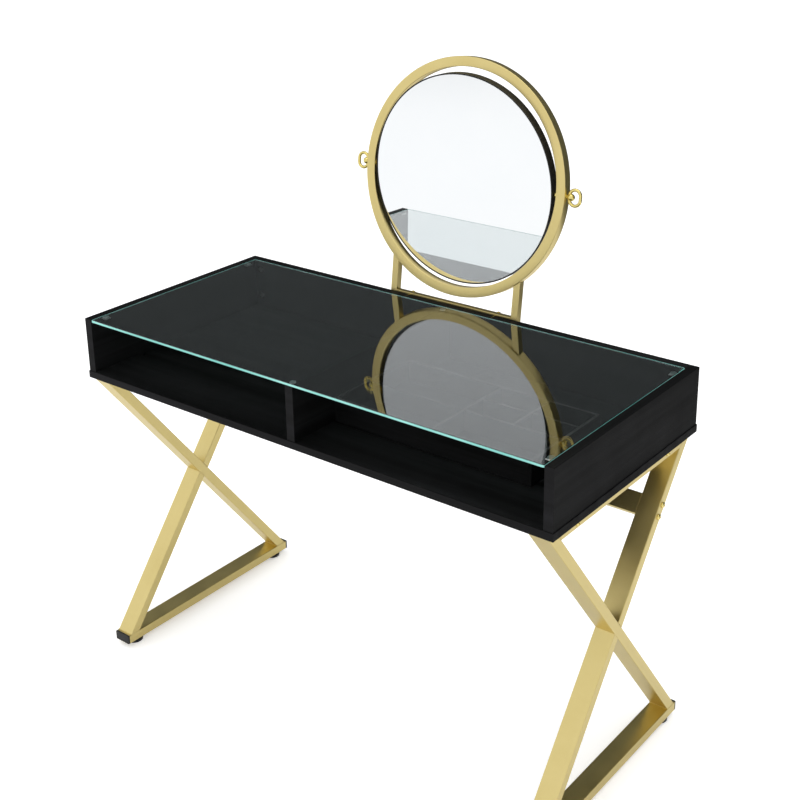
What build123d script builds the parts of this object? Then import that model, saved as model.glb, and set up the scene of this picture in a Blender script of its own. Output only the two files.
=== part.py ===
"""Vanity table with a glass top, two open bays, X-shaped steel leg frames and a tilting round mirror.

The pieces are drawn around the middle of the case, with z = 0 on the floor. The front faces -Y,
+X is to the right of a person who sits at the table, and +Z is up. Each piece is moved along Y
as it is written, so that the files' origin is under the middle of the whole outline, because
the mirror's ring reaches out behind the case. All sizes are in millimetres.
"""
import os
from math import cos, radians, sin, sqrt

from build123d import *

os.makedirs("parts", exist_ok=True)

# ---- overall sizes ------------------------------------------------------------------------
desk_width = 1100.0
desk_depth = 490.0
desk_height = 752.0
case_height = 128.0

# ---- boards of the case -------------------------------------------------------------------
board_thickness = 15.0
panel_thickness = 18.0
board_overhang = 1.5
edge_round = 0.8

# ---- glass top and what it rests on -------------------------------------------------------
glass_thickness = 5.0
glass_gap = 1.0
glass_corner_radius = 3.0
pad_thickness = 2.0
pad_radius = 7.0
bumper_radius = 6.0
bumper_inset = 12.0
support_inset = 32.0
support_length = 15.0
support_width = 12.0
support_plate = 2.0
peg_radius = 2.5
peg_depth = 9.0
hole_clearance = 0.1

# ---- jewellery tray in the right-hand bay --------------------------------------------------
tray_width = 430.0
tray_depth = 224.0
tray_height = 45.0
tray_wall = 6.0
tray_base_thickness = 5.0
tray_divider_wall = 5.0
tray_front_inset = 107.0
tray_side_gap = 2.0
tray_float = 0.3
divider_drop = 1.0
lap_gap = 0.1
front_row_depth = 92.0
middle_row_depth = 54.0
left_cell_width = 213.0
small_cell_width = 100.0

# ---- leg frames ----------------------------------------------------------------------------
tube_width = 40.0
tube_height = 20.0
tube_wall = 1.5
tube_round = 1.5
frame_inset = 9.0
leg_inset = 1.5
rail_overhang = 3.0
cap_flange = 4.0
cap_plug_length = 14.0
cap_fit = 0.1

# ---- glides --------------------------------------------------------------------------------
glide_height = 10.0
glide_pad_height = 7.5
glide_radius = 18.0
glide_neck_radius = 9.0
glide_inset = 33.0
stem_radius = 4.0
stem_length = 26.0
nut_radius = 7.0
nut_length = 11.0
nut_flange_radius = 9.0
thread_fit = 0.05

# ---- cross rails, rear stretcher and their bolts ------------------------------------------
cross_rail_spread = 310.0
cross_rail_size = 20.0
stretcher_width = 40.0
stretcher_height_above_floor = 505.0
end_plate = 3.0
bolt_radius = 3.0
bolt_grip_past_plate = 3.0
bolt_head_radius = 5.5
bolt_head_height = 4.0
stretcher_bolt_spacing = 23.0
socket_radius = 2.0
socket_depth = 1.8

# ---- wood screws, dowels and cam fittings --------------------------------------------------
screw_radius = 2.5
screw_length = 45.0
screw_head_radius = 5.0
screw_head_height = 3.5
side_screw_spread = 380.0
rail_screw_length = 30.0
rail_screw_spread = 250.0
dowel_radius = 4.0
dowel_length = 30.0
cam_radius = 6.0
cam_depth = 12.0
cam_edge = 16.0
cam_top_drop = 26.0
cam_bottom_rise = 26.0
cam_bolt_radius = 2.5
cam_bolt_depth = 11.0

# ---- mirror stand --------------------------------------------------------------------------
stand_lean = 7.5
post_size = 15.0
post_spacing = 300.0
crossbar_size = 12.0
crossbar_rise = 3.0
stand_bolt_spacing = 214.0
stand_bolt_depth = 14.0
stand_bolt_head_radius = 7.0
ring_radius = 240.0
ring_band = 20.0
ring_depth = 20.0
ring_proud = 2.5
mirror_centre_height = 1009.0

# ---- mirror --------------------------------------------------------------------------------
mirror_gap = 7.0
mirror_drop = 3.0
mirror_lean = 1.0
mirror_rim_wall = 1.5
mirror_rim_depth = 19.0
mirror_rim_proud = 1.0
mirror_rim_lip = 6.0
mirror_fit = 0.3
mirror_glass_thickness = 4.0
mirror_glass_setback = 0.5
backing_thickness = 12.0

# ---- mirror pivots -------------------------------------------------------------------------
pin_radius = 3.0
pin_clearance = 0.05
pin_tip_gap = 1.0
bush_radius = 4.5
bush_length = 20.0
collar_radius = 6.0
collar_end_gap = 0.4
ball_radius = 7.0
ball_gap = 2.0
neck_radius = 4.5
loop_width = 30.0
loop_height = 37.0
loop_wire = 6.5

# ---- worked-out places ---------------------------------------------------------------------
half_width = desk_width / 2
half_depth = desk_depth / 2
case_bottom = desk_height - case_height
floor_of_bays = case_bottom + board_thickness
inner_half_width = half_width - panel_thickness
back_front_face = half_depth - panel_thickness
glass_bottom = desk_height - glass_thickness
pad_bottom = glass_bottom - pad_thickness
frame_outer = half_width - frame_inset
frame_inner = frame_outer - tube_width
rail_bottom = glide_height
rail_top = rail_bottom + tube_height
leg_span = desk_depth - 2 * leg_inset
leg_rise = case_bottom - rail_top

# The two legs of a frame are equal: each runs from one top corner to the opposite bottom corner.
# leg_slope is how far a leg moves along Y for each millimetre that it drops.
leg_slope = (
    leg_span * leg_rise - tube_height * sqrt(leg_rise**2 + leg_span**2 - tube_height**2)
) / (leg_rise**2 - tube_height**2)
leg_cut = tube_height * sqrt(1 + leg_slope**2)


# The outline runs from the caps of the bottom rails to the rear edge of the leaning ring.
lean = radians(stand_lean)
stand_foot = desk_height + crossbar_rise - crossbar_size
ring_centre_up = (mirror_centre_height - stand_foot) / cos(lean)
ring_back = ring_proud - ring_depth
outline_front = -half_depth - rail_overhang - cap_flange
outline_rear = half_depth + (ring_centre_up + ring_radius - edge_round) * sin(lean)
outline_rear -= ring_back * cos(lean)
outline_middle = round((outline_front + outline_rear) / 2, 1)


def finish(part, name):
    """Label one finished piece, move it to the files' origin and write it to its own file."""
    piece = Pos(0, -outline_middle, 0) * part.part
    piece.label = name
    export_step(piece, f"parts/{name}.step")


# ---- positions shared by holes and by what goes through them --------------------------------
side_panel_middle = inner_half_width + panel_thickness / 2
back_middle = back_front_face + panel_thickness / 2
case_screw_places = [
    (side * side_panel_middle, y)
    for side in (-1, 1)
    for y in (-side_screw_spread / 2, 0, side_screw_spread / 2)
]
case_screw_places += [(0, -side_screw_spread / 2), (0, 0)]
case_screw_places += [(side * inner_half_width / 2, back_middle) for side in (-1, 1)]
rail_screw_places = [
    (side * (frame_outer - tube_width / 2), y)
    for side in (-1, 1)
    for y in (-rail_screw_spread / 2, 0, rail_screw_spread / 2)
]
peg_level = pad_bottom - support_plate - peg_radius + support_plate / 2
cam_levels = (desk_height - cam_top_drop, floor_of_bays + cam_bottom_rise)
support_places = (-half_depth + support_inset, back_front_face - support_inset)
partition_top = pad_bottom
partition_dowel_levels = (floor_of_bays + 30, partition_top - 30)
cross_rail_places = (-cross_rail_spread / 2, cross_rail_spread / 2)
top_bolt_level = case_bottom - tube_height / 2


# ---- case: bottom board ---------------------------------------------------------------------
board_plane = Plane.XY.offset(case_bottom)
with BuildPart() as bottom_board:
    with BuildSketch(board_plane):
        Rectangle(desk_width + 2 * board_overhang, desk_depth + 2 * board_overhang)
    extrude(amount=board_thickness)
    chamfer(bottom_board.edges().group_by(Axis.Z)[-1], length=edge_round)
    with BuildSketch(board_plane):
        with Locations(*case_screw_places):
            Circle(screw_radius + hole_clearance)
        with Locations(*rail_screw_places):
            Circle(screw_radius + hole_clearance)
    extrude(amount=board_thickness, mode=Mode.SUBTRACT)
    with BuildSketch(board_plane):
        with Locations(*case_screw_places):
            Circle(screw_head_radius + hole_clearance)
    extrude(amount=screw_head_height + hole_clearance, mode=Mode.SUBTRACT)
finish(bottom_board, "bottom_board")

# ---- case: side panels ----------------------------------------------------------------------
side_screws = [y for x, y in case_screw_places if x == side_panel_middle]
for side, name in ((-1, "left_side_panel"), (1, "right_side_panel")):
    with BuildPart() as side_panel:
        with BuildSketch(Plane.XY.offset(floor_of_bays)):
            with Locations((side * side_panel_middle, 0)):
                Rectangle(panel_thickness, desk_depth)
        extrude(amount=case_height - board_thickness)
        chamfer(side_panel.edges().group_by(Axis.Z)[-1], length=edge_round)
        with BuildSketch(Plane.XY.offset(floor_of_bays)):
            with Locations(*[(side * side_panel_middle, y) for y in side_screws]):
                Circle(screw_radius + hole_clearance)
        extrude(amount=screw_length - board_thickness + 1, mode=Mode.SUBTRACT)
        inner_face = Plane((side * inner_half_width, 0, 0), x_dir=(0, 1, 0), z_dir=(side, 0, 0))
        with BuildSketch(inner_face):
            with Locations(*[(y, side * peg_level) for y in support_places]):
                Circle(peg_radius + hole_clearance)
        extrude(amount=peg_depth + 1, mode=Mode.SUBTRACT)
        with BuildSketch(inner_face):
            with Locations(*[(back_middle, side * z) for z in cam_levels]):
                Circle(cam_bolt_radius + hole_clearance)
        extrude(amount=cam_bolt_depth + 1, mode=Mode.SUBTRACT)
    finish(side_panel, name)

# ---- case: back panel -----------------------------------------------------------------------
back_plane = Plane((0, back_front_face, 0), x_dir=(1, 0, 0), z_dir=(0, -1, 0))
with BuildPart() as back_panel:
    with BuildSketch(Plane.XY.offset(floor_of_bays)):
        with Locations((0, back_middle)):
            Rectangle(2 * inner_half_width, panel_thickness)
    extrude(amount=case_height - board_thickness)
    chamfer(back_panel.edges().filter_by(Axis.X).group_by(Axis.Z)[-1], length=edge_round)
    with BuildSketch(Plane.XY.offset(floor_of_bays)):
        with Locations(*[(side * inner_half_width / 2, back_middle) for side in (-1, 1)]):
            Circle(screw_radius + hole_clearance)
    extrude(amount=screw_length - board_thickness + 1, mode=Mode.SUBTRACT)
    for side in (-1, 1):
        cam_x = side * (inner_half_width - cam_edge)
        with BuildSketch(back_plane):
            with Locations(*[(cam_x, z) for z in cam_levels]):
                Circle(cam_radius + hole_clearance)
        extrude(amount=-cam_depth - hole_clearance, mode=Mode.SUBTRACT)
        end_plane = Plane((side * inner_half_width, 0, 0), x_dir=(0, 1, 0), z_dir=(side, 0, 0))
        with BuildSketch(end_plane):
            with Locations(*[(back_middle, side * z) for z in cam_levels]):
                Circle(cam_bolt_radius + hole_clearance)
        extrude(amount=-cam_edge, mode=Mode.SUBTRACT)
    with BuildSketch(back_plane):
        with Locations(*[(0, z) for z in partition_dowel_levels]):
            Circle(dowel_radius + hole_clearance)
    extrude(amount=-panel_thickness + 5, mode=Mode.SUBTRACT)
    rear_plane = Plane((0, half_depth, 0), x_dir=(1, 0, 0), z_dir=(0, -1, 0))
    crossbar_middle = desk_height + crossbar_rise - crossbar_size / 2
    with BuildSketch(rear_plane):
        with Locations(*[(side * stand_bolt_spacing / 2, crossbar_middle) for side in (-1, 1)]):
            Circle(bolt_radius + hole_clearance)
    extrude(amount=stand_bolt_depth + 1, mode=Mode.SUBTRACT)
finish(back_panel, "back_panel")

# ---- case: partition between the two bays ----------------------------------------------------
with BuildPart() as centre_partition:
    with BuildSketch(Plane.XY.offset(floor_of_bays)):
        with Locations((0, (back_front_face - half_depth) / 2)):
            Rectangle(panel_thickness, back_front_face + half_depth)
    extrude(amount=partition_top - floor_of_bays)
    with BuildSketch(Plane.XY.offset(floor_of_bays)):
        with Locations(*[(x, y) for x, y in case_screw_places if x == 0]):
            Circle(screw_radius + hole_clearance)
    extrude(amount=screw_length - board_thickness + 1, mode=Mode.SUBTRACT)
    with BuildSketch(back_plane):
        with Locations(*[(0, z) for z in partition_dowel_levels]):
            Circle(dowel_radius + hole_clearance)
    extrude(amount=dowel_length - panel_thickness + 6, mode=Mode.SUBTRACT)
finish(centre_partition, "centre_partition")

# ---- glass top -------------------------------------------------------------------------------
glass_width = 2 * (inner_half_width - glass_gap)
glass_depth = back_front_face - glass_gap + half_depth
with BuildPart() as glass_top:
    with BuildSketch(Plane.XY.offset(glass_bottom)):
        with Locations((0, -half_depth + glass_depth / 2)):
            RectangleRounded(glass_width, glass_depth, glass_corner_radius)
    extrude(amount=glass_thickness)
    chamfer(glass_top.edges().group_by(Axis.Z)[-1], length=edge_round)
finish(glass_top, "glass_top")

# ---- pegs that carry the glass at its four corners, and their clear pads ---------------------
corner_places = [(side, y) for side in (-1, 1) for y in support_places]
with BuildPart() as glass_support_pegs:
    for side, y in corner_places:
        with BuildSketch(Plane.XY.offset(pad_bottom - support_plate)):
            with Locations((side * (inner_half_width - support_length / 2), y)):
                Rectangle(support_length, support_width)
        extrude(amount=support_plate)
        peg_plane = Plane(
            (side * (inner_half_width - support_length / 2), y, peg_level), z_dir=(side, 0, 0)
        )
        with BuildSketch(peg_plane):
            Circle(peg_radius)
        extrude(amount=support_length / 2 + peg_depth)
finish(glass_support_pegs, "glass_support_pegs")

with BuildPart() as glass_pads:
    with BuildSketch(Plane.XY.offset(pad_bottom)):
        pad_x = inner_half_width - support_length / 2 - 0.2
        with Locations(*[(side * pad_x, y) for side, y in corner_places]):
            Circle(pad_radius)
    extrude(amount=pad_thickness)
finish(glass_pads, "glass_pads")

with BuildPart() as partition_bumpers:
    with BuildSketch(Plane.XY.offset(partition_top)):
        with Locations((0, -half_depth + bumper_inset), (0, back_front_face - bumper_inset)):
            Circle(bumper_radius)
    extrude(amount=pad_thickness)
finish(partition_bumpers, "partition_bumpers")

# ---- cam fittings, dowels and screws of the case ---------------------------------------------
with BuildPart() as cam_locks:
    for side in (-1, 1):
        cam_x = side * (inner_half_width - cam_edge)
        with BuildSketch(back_plane):
            with Locations(*[(cam_x, z) for z in cam_levels]):
                Circle(cam_radius)
        extrude(amount=-cam_depth)
        with BuildSketch(back_plane):
            with Locations(*[(cam_x, z) for z in cam_levels]):
                Rectangle(cam_radius, 1.4)
                Rectangle(1.4, cam_radius)
        extrude(amount=-1.2, mode=Mode.SUBTRACT)
        cam_bolt_tip = Plane((side * inner_half_width, 0, 0), x_dir=(0, 1, 0), z_dir=(side, 0, 0))
        with BuildSketch(cam_bolt_tip):
            with Locations(*[(back_middle, side * z) for z in cam_levels]):
                Circle(cam_bolt_radius + hole_clearance)
        extrude(amount=-cam_edge, mode=Mode.SUBTRACT)
finish(cam_locks, "cam_locks")

with BuildPart() as cam_bolts:
    for side in (-1, 1):
        bolt_start = Plane(
            (side * (inner_half_width + cam_bolt_depth), 0, 0), x_dir=(0, 1, 0), z_dir=(side, 0, 0)
        )
        with BuildSketch(bolt_start):
            with Locations(*[(back_middle, side * z) for z in cam_levels]):
                Circle(cam_bolt_radius)
        extrude(amount=-cam_bolt_depth - cam_edge + 1)
finish(cam_bolts, "cam_bolts")

with BuildPart() as partition_dowels:
    dowel_start = Plane((0, half_depth - 6, 0), x_dir=(1, 0, 0), z_dir=(0, -1, 0))
    with BuildSketch(dowel_start):
        with Locations(*[(0, z) for z in partition_dowel_levels]):
            Circle(dowel_radius)
    extrude(amount=dowel_length)
finish(partition_dowels, "partition_dowels")

with BuildPart() as case_screws:
    with BuildSketch(board_plane):
        with Locations(*case_screw_places):
            Circle(screw_radius)
    extrude(amount=screw_length)
    with BuildSketch(board_plane):
        with Locations(*case_screw_places):
            Circle(screw_head_radius)
    extrude(amount=screw_head_height)
    with BuildSketch(board_plane):
        with Locations(*case_screw_places):
            RegularPolygon(socket_radius, 6)
    extrude(amount=socket_depth, mode=Mode.SUBTRACT)
finish(case_screws, "case_screws")


# ---- jewellery tray --------------------------------------------------------------------------
tray_left = panel_thickness / 2 + tray_side_gap
tray_right = tray_left + tray_width
tray_front = -half_depth + tray_front_inset
tray_back = tray_front + tray_depth
tray_bottom = floor_of_bays + tray_float
tray_floor = tray_bottom + tray_base_thickness
tray_top = tray_bottom + tray_height
divider_top = tray_top - divider_drop
divider_height = divider_top - tray_floor
first_row_back = tray_front + tray_wall + front_row_depth
second_row_front = first_row_back + tray_divider_wall
second_row_back = second_row_front + middle_row_depth
left_cell_right = tray_left + tray_wall + left_cell_width
small_cells_left = left_cell_right + tray_divider_wall
small_cell_right = small_cells_left + small_cell_width


def upright(name, x_low, x_high, y_low, y_high, z_low, z_high, laps=()):
    """One flat upright board of the tray, with half-lap slots cut where others cross it."""
    with BuildPart() as board:
        with BuildSketch(Plane.XY.offset(z_low)):
            with Locations(((x_low + x_high) / 2, (y_low + y_high) / 2)):
                Rectangle(x_high - x_low, y_high - y_low)
        extrude(amount=z_high - z_low)
        for x, y, slot_low, slot_high in laps:
            with BuildSketch(Plane.XY.offset(slot_low)):
                with Locations((x, y)):
                    Rectangle(tray_divider_wall + 2 * lap_gap, tray_divider_wall + 2 * lap_gap)
            extrude(amount=slot_high - slot_low, mode=Mode.SUBTRACT)
    finish(board, name)


half_lap = tray_floor + divider_height / 2
long_divider_y = first_row_back + tray_divider_wall / 2
depth_divider_x = left_cell_right + tray_divider_wall / 2
short_divider_y = second_row_back + tray_divider_wall / 2
small_divider_x = small_cell_right + tray_divider_wall / 2
inner_left = tray_left + tray_wall
inner_right = tray_right - tray_wall
inner_front = tray_front + tray_wall
inner_back = tray_back - tray_wall

upright("tray_base", tray_left, tray_right, tray_front, tray_back, tray_bottom, tray_floor)
upright("tray_left_wall", tray_left, inner_left, tray_front, tray_back, tray_floor, tray_top)
upright("tray_right_wall", inner_right, tray_right, tray_front, tray_back, tray_floor, tray_top)
upright("tray_front_wall", inner_left, inner_right, tray_front, inner_front, tray_floor, tray_top)
upright("tray_back_wall", inner_left, inner_right, inner_back, tray_back, tray_floor, tray_top)
upright(
    "tray_long_divider", inner_left, inner_right, first_row_back, second_row_front,
    tray_floor, divider_top, [(depth_divider_x, long_divider_y, half_lap, divider_top)],
)
upright(
    "tray_depth_divider", left_cell_right, small_cells_left, inner_front, inner_back,
    tray_floor, divider_top, [(depth_divider_x, long_divider_y, tray_floor, half_lap)],
)
upright(
    "tray_short_divider", small_cells_left, inner_right, second_row_back,
    second_row_back + tray_divider_wall, tray_floor, divider_top,
    [(small_divider_x, short_divider_y, half_lap, divider_top)],
)
upright(
    "tray_small_divider", small_cell_right, small_cell_right + tray_divider_wall,
    second_row_front, inner_back, tray_floor, divider_top,
    [(small_divider_x, short_divider_y, tray_floor, half_lap)],
)


# ---- leg frames ------------------------------------------------------------------------------
def falling_leg(z, offset=0.0):
    """Y of the leg that falls from the front top to the rear bottom, at the level z."""
    return -leg_span / 2 + leg_slope * (case_bottom - z) + offset * leg_cut


def rising_leg(z, offset=0.0):
    """Y of the leg that rises from the front bottom to the rear top, at the level z."""
    return leg_span / 2 - leg_cut - leg_slope * (case_bottom - z) + offset * leg_cut


def crossing(rising_offset, falling_offset):
    """Level where a line along the rising leg meets a line along the falling leg."""
    return case_bottom - (leg_span - leg_cut * (1 - rising_offset + falling_offset)) / 2 / leg_slope


wall_share = tube_wall / tube_height
leg_direction = {"falling": (0, leg_slope, -1), "rising": (0, leg_slope, 1)}
side_bolt_places = [(y, top_bolt_level) for y in cross_rail_places]
leg_unit = (leg_slope / sqrt(1 + leg_slope**2), 1 / sqrt(1 + leg_slope**2))
stretcher_y = rising_leg(stretcher_height_above_floor, 0.5)
stretcher_bolts_yz = [
    (
        stretcher_y + along * leg_unit[0],
        stretcher_height_above_floor + along * leg_unit[1],
    )
    for along in (-stretcher_bolt_spacing / 2, stretcher_bolt_spacing / 2)
]


def frame_tube(name, side, outline, bore, direction, bolt_places=()):
    """One tube of a leg frame: its side profile and the profile of its bore, both as (y, z)."""
    x_low = frame_inner if side > 0 else -frame_outer
    with BuildPart() as tube:
        with BuildSketch(Plane.YZ.offset(x_low)):
            with BuildLine():
                Polyline(*outline, close=True)
            make_face()
        extrude(amount=tube_width)
        long_edges = tube.edges().filter_by(Axis((0, 0, 0), direction))
        fillet(long_edges, radius=tube_round)
        with BuildSketch(Plane.YZ.offset(x_low + tube_wall)):
            with BuildLine():
                Polyline(*bore, close=True)
            make_face()
        extrude(amount=tube_width - 2 * tube_wall, mode=Mode.SUBTRACT)
        if bolt_places:
            with BuildSketch(Plane.YZ.offset(x_low)):
                with Locations(*bolt_places):
                    Circle(bolt_radius + hole_clearance)
            extrude(amount=tube_width, mode=Mode.SUBTRACT)
        if name.endswith("top_rail"):
            with BuildSketch(Plane.XY.offset(case_bottom - tube_height)):
                with Locations(*[(x, y) for x, y in rail_screw_places if x * side > 0]):
                    Circle(screw_radius + hole_clearance)
            extrude(amount=tube_height, mode=Mode.SUBTRACT)
        if name.endswith("bottom_rail"):
            with BuildSketch(Plane.XY.offset(rail_bottom)):
                with Locations(*[(x, y) for x, y in glide_places if x * side > 0]):
                    Circle(nut_radius + hole_clearance)
            extrude(amount=tube_wall, mode=Mode.SUBTRACT)
    finish(tube, name)


rail_length = desk_depth + 2 * rail_overhang
rail_end = rail_length / 2
glide_x = frame_outer - tube_width / 2
glide_y = rail_end + cap_flange - glide_inset
glide_places = [(sx * glide_x, sy * glide_y) for sx in (-1, 1) for sy in (-1, 1)]
top_rail_low = case_bottom - tube_height
bore_top = case_bottom - tube_wall
bore_low = top_rail_low + tube_wall

for side, word in ((-1, "left"), (1, "right")):
    frame_tube(
        f"{word}_through_leg", side,
        [
            (falling_leg(case_bottom), case_bottom), (falling_leg(case_bottom, 1), case_bottom),
            (falling_leg(rail_top, 1), rail_top), (falling_leg(rail_top), rail_top),
        ],
        [
            (falling_leg(case_bottom, wall_share), case_bottom),
            (falling_leg(case_bottom, 1 - wall_share), case_bottom),
            (falling_leg(rail_top, 1 - wall_share), rail_top),
            (falling_leg(rail_top, wall_share), rail_top),
        ],
        leg_direction["falling"],
    )
    frame_tube(
        f"{word}_upper_leg", side,
        [
            (rising_leg(case_bottom), case_bottom), (rising_leg(case_bottom, 1), case_bottom),
            (rising_leg(crossing(1, 1), 1), crossing(1, 1)),
            (rising_leg(crossing(0, 1)), crossing(0, 1)),
        ],
        [
            (rising_leg(case_bottom, wall_share), case_bottom),
            (rising_leg(case_bottom, 1 - wall_share), case_bottom),
            (rising_leg(crossing(1 - wall_share, 1), 1 - wall_share), crossing(1 - wall_share, 1)),
            (rising_leg(crossing(wall_share, 1), wall_share), crossing(wall_share, 1)),
        ],
        leg_direction["rising"],
        stretcher_bolts_yz,
    )
    frame_tube(
        f"{word}_lower_leg", side,
        [
            (rising_leg(crossing(0, 0)), crossing(0, 0)),
            (rising_leg(crossing(1, 0), 1), crossing(1, 0)),
            (rising_leg(rail_top, 1), rail_top), (rising_leg(rail_top), rail_top),
        ],
        [
            (rising_leg(crossing(wall_share, 0), wall_share), crossing(wall_share, 0)),
            (rising_leg(crossing(1 - wall_share, 0), 1 - wall_share), crossing(1 - wall_share, 0)),
            (rising_leg(rail_top, 1 - wall_share), rail_top),
            (rising_leg(rail_top, wall_share), rail_top),
        ],
        leg_direction["rising"],
    )
    frame_tube(
        f"{word}_top_rail", side,
        [
            (falling_leg(case_bottom, 1), case_bottom), (rising_leg(case_bottom), case_bottom),
            (rising_leg(top_rail_low), top_rail_low), (falling_leg(top_rail_low, 1), top_rail_low),
        ],
        [
            (falling_leg(bore_top, 1), bore_top), (rising_leg(bore_top), bore_top),
            (rising_leg(bore_low), bore_low), (falling_leg(bore_low, 1), bore_low),
        ],
        (0, 1, 0),
        side_bolt_places,
    )
    frame_tube(
        f"{word}_bottom_rail", side,
        [
            (-rail_end, rail_bottom), (rail_end, rail_bottom),
            (rail_end, rail_top), (-rail_end, rail_top),
        ],
        [
            (-rail_end, rail_bottom + tube_wall), (rail_end, rail_bottom + tube_wall),
            (rail_end, rail_top - tube_wall), (-rail_end, rail_top - tube_wall),
        ],
        (0, 1, 0),
    )

# ---- black plastic caps in the ends of the bottom rails --------------------------------------
with BuildPart() as rail_end_caps:
    for sx in (-1, 1):
        for sy in (-1, 1):
            end_plane = Plane((sx * glide_x, sy * rail_end, 0), x_dir=(1, 0, 0), z_dir=(0, -1, 0))
            with BuildSketch(end_plane):
                with Locations((0, rail_bottom + tube_height / 2)):
                    RectangleRounded(tube_width, tube_height, tube_round)
            extrude(amount=-sy * cap_flange)
            with BuildSketch(end_plane):
                with Locations((0, rail_bottom + tube_height / 2)):
                    Rectangle(
                        tube_width - 2 * (tube_wall + cap_fit),
                        tube_height - 2 * (tube_wall + cap_fit),
                    )
            extrude(amount=sy * cap_plug_length)
finish(rail_end_caps, "rail_end_caps")

# ---- glides: threaded nuts in the rails, and four turning feet -------------------------------
with BuildPart() as glide_nuts:
    with BuildSketch(Plane.XY.offset(rail_bottom)):
        with Locations(*glide_places):
            Circle(nut_radius)
    extrude(amount=nut_length)
    with BuildSketch(Plane.XY.offset(rail_bottom + tube_wall)):
        with Locations(*glide_places):
            Circle(nut_flange_radius)
    extrude(amount=tube_wall)
    with BuildSketch(Plane.XY.offset(rail_bottom)):
        with Locations(*glide_places):
            Circle(stem_radius + thread_fit)
    extrude(amount=nut_length, mode=Mode.SUBTRACT)
finish(glide_nuts, "glide_nuts")

glide_names = ("glide_left_front", "glide_left_rear", "glide_right_front", "glide_right_rear")
neck_height = glide_height - 0.5
for name, (x, y) in zip(glide_names, glide_places):
    with BuildPart() as glide:
        with BuildSketch(Plane.XY):
            with Locations((x, y)):
                Circle(glide_radius)
        extrude(amount=glide_pad_height)
        fillet(glide.edges().group_by(Axis.Z)[-1], radius=2.0)
        fillet(glide.edges().group_by(Axis.Z)[0], radius=1.0)
        with BuildSketch(Plane.XY):
            with Locations((x, y)):
                Circle(glide_neck_radius)
        extrude(amount=neck_height)
        with BuildSketch(Plane.XY):
            with Locations((x, y)):
                Circle(stem_radius)
        extrude(amount=stem_length)
    finish(glide, name)

# ---- front and rear cross rails, under the board, between the two frames ---------------------
for y, name in zip(cross_rail_places, ("front_cross_rail", "rear_cross_rail")):
    with BuildPart() as cross_rail:
        with BuildSketch(Plane.YZ.offset(-frame_inner)):
            with Locations((y, top_bolt_level)):
                RectangleRounded(cross_rail_size, cross_rail_size, tube_round)
        extrude(amount=2 * frame_inner)
        with BuildSketch(Plane.YZ.offset(-frame_inner + end_plate)):
            with Locations((y, top_bolt_level)):
                Rectangle(cross_rail_size - 2 * tube_wall, cross_rail_size - 2 * tube_wall)
        extrude(amount=2 * (frame_inner - end_plate), mode=Mode.SUBTRACT)
        with BuildSketch(Plane.YZ.offset(-frame_inner)):
            with Locations((y, top_bolt_level)):
                Circle(bolt_radius + hole_clearance)
        extrude(amount=2 * frame_inner, mode=Mode.SUBTRACT)
    finish(cross_rail, name)

# ---- rear stretcher, turned to lie in line with the rear legs --------------------------------
stretcher_plane = Plane(
    (-frame_inner, stretcher_y, stretcher_height_above_floor),
    x_dir=(0, leg_unit[1], -leg_unit[0]),
    z_dir=(1, 0, 0),
)
with BuildPart() as rear_stretcher:
    with BuildSketch(stretcher_plane):
        RectangleRounded(tube_height, stretcher_width, tube_round)
    extrude(amount=2 * frame_inner)
    with BuildSketch(stretcher_plane.offset(end_plate)):
        Rectangle(tube_height - 2 * tube_wall, stretcher_width - 2 * tube_wall)
    extrude(amount=2 * (frame_inner - end_plate), mode=Mode.SUBTRACT)
    with BuildSketch(Plane.YZ.offset(-frame_inner)):
        with Locations(*stretcher_bolts_yz):
            Circle(bolt_radius + hole_clearance)
    extrude(amount=2 * frame_inner, mode=Mode.SUBTRACT)
finish(rear_stretcher, "rear_stretcher")


def frame_bolts(name, places):
    """Button-head bolts from the outside of both frames into what runs between them."""
    shank = tube_width + end_plate + bolt_grip_past_plate
    with BuildPart() as bolts:
        for side in (-1, 1):
            outer_plane = Plane((side * frame_outer, 0, 0), x_dir=(0, 1, 0), z_dir=(side, 0, 0))
            with BuildSketch(outer_plane):
                with Locations(*[(y, side * z) for y, z in places]):
                    Circle(bolt_radius)
            extrude(amount=-shank)
            with BuildSketch(outer_plane):
                with Locations(*[(y, side * z) for y, z in places]):
                    Circle(bolt_head_radius)
            extrude(amount=bolt_head_height)
            head_faces = bolts.faces().filter_by(Axis.X).sort_by(Axis.X)
            count = len(places)
            heads = head_faces[-count:] if side > 0 else head_faces[:count]
            fillet(heads.edges(), radius=bolt_head_height - 1)
            with BuildSketch(outer_plane.offset(bolt_head_height)):
                with Locations(*[(y, side * z) for y, z in places]):
                    RegularPolygon(socket_radius, 6)
            extrude(amount=-socket_depth, mode=Mode.SUBTRACT)
    finish(bolts, name)


frame_bolts("cross_rail_bolts", side_bolt_places)
frame_bolts("stretcher_bolts", stretcher_bolts_yz)

with BuildPart() as rail_screws:
    low = case_bottom - tube_height
    with BuildSketch(Plane.XY.offset(low)):
        with Locations(*rail_screw_places):
            Circle(screw_radius)
    extrude(amount=rail_screw_length)
    with BuildSketch(Plane.XY.offset(low)):
        with Locations(*rail_screw_places):
            Circle(screw_head_radius)
    extrude(amount=-2.5)
    with BuildSketch(Plane.XY.offset(low - 2.5)):
        with Locations(*rail_screw_places):
            RegularPolygon(socket_radius, 6)
    extrude(amount=1.2, mode=Mode.SUBTRACT)
finish(rail_screws, "rail_screws")


# ---- mirror stand ----------------------------------------------------------------------------
# The stand's plane holds the front faces of the posts. Its x runs along X, its y runs up the
# posts, and its z points to the front. It meets the rear of the case at the posts' feet.
stand_plane = Plane((0, half_depth, stand_foot), x_dir=(1, 0, 0), z_dir=(0, -cos(lean), sin(lean)))
ring_middle = ring_proud - ring_depth / 2
pivot_plane = stand_plane.offset(ring_middle)
inner_radius = ring_radius - ring_band

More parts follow.
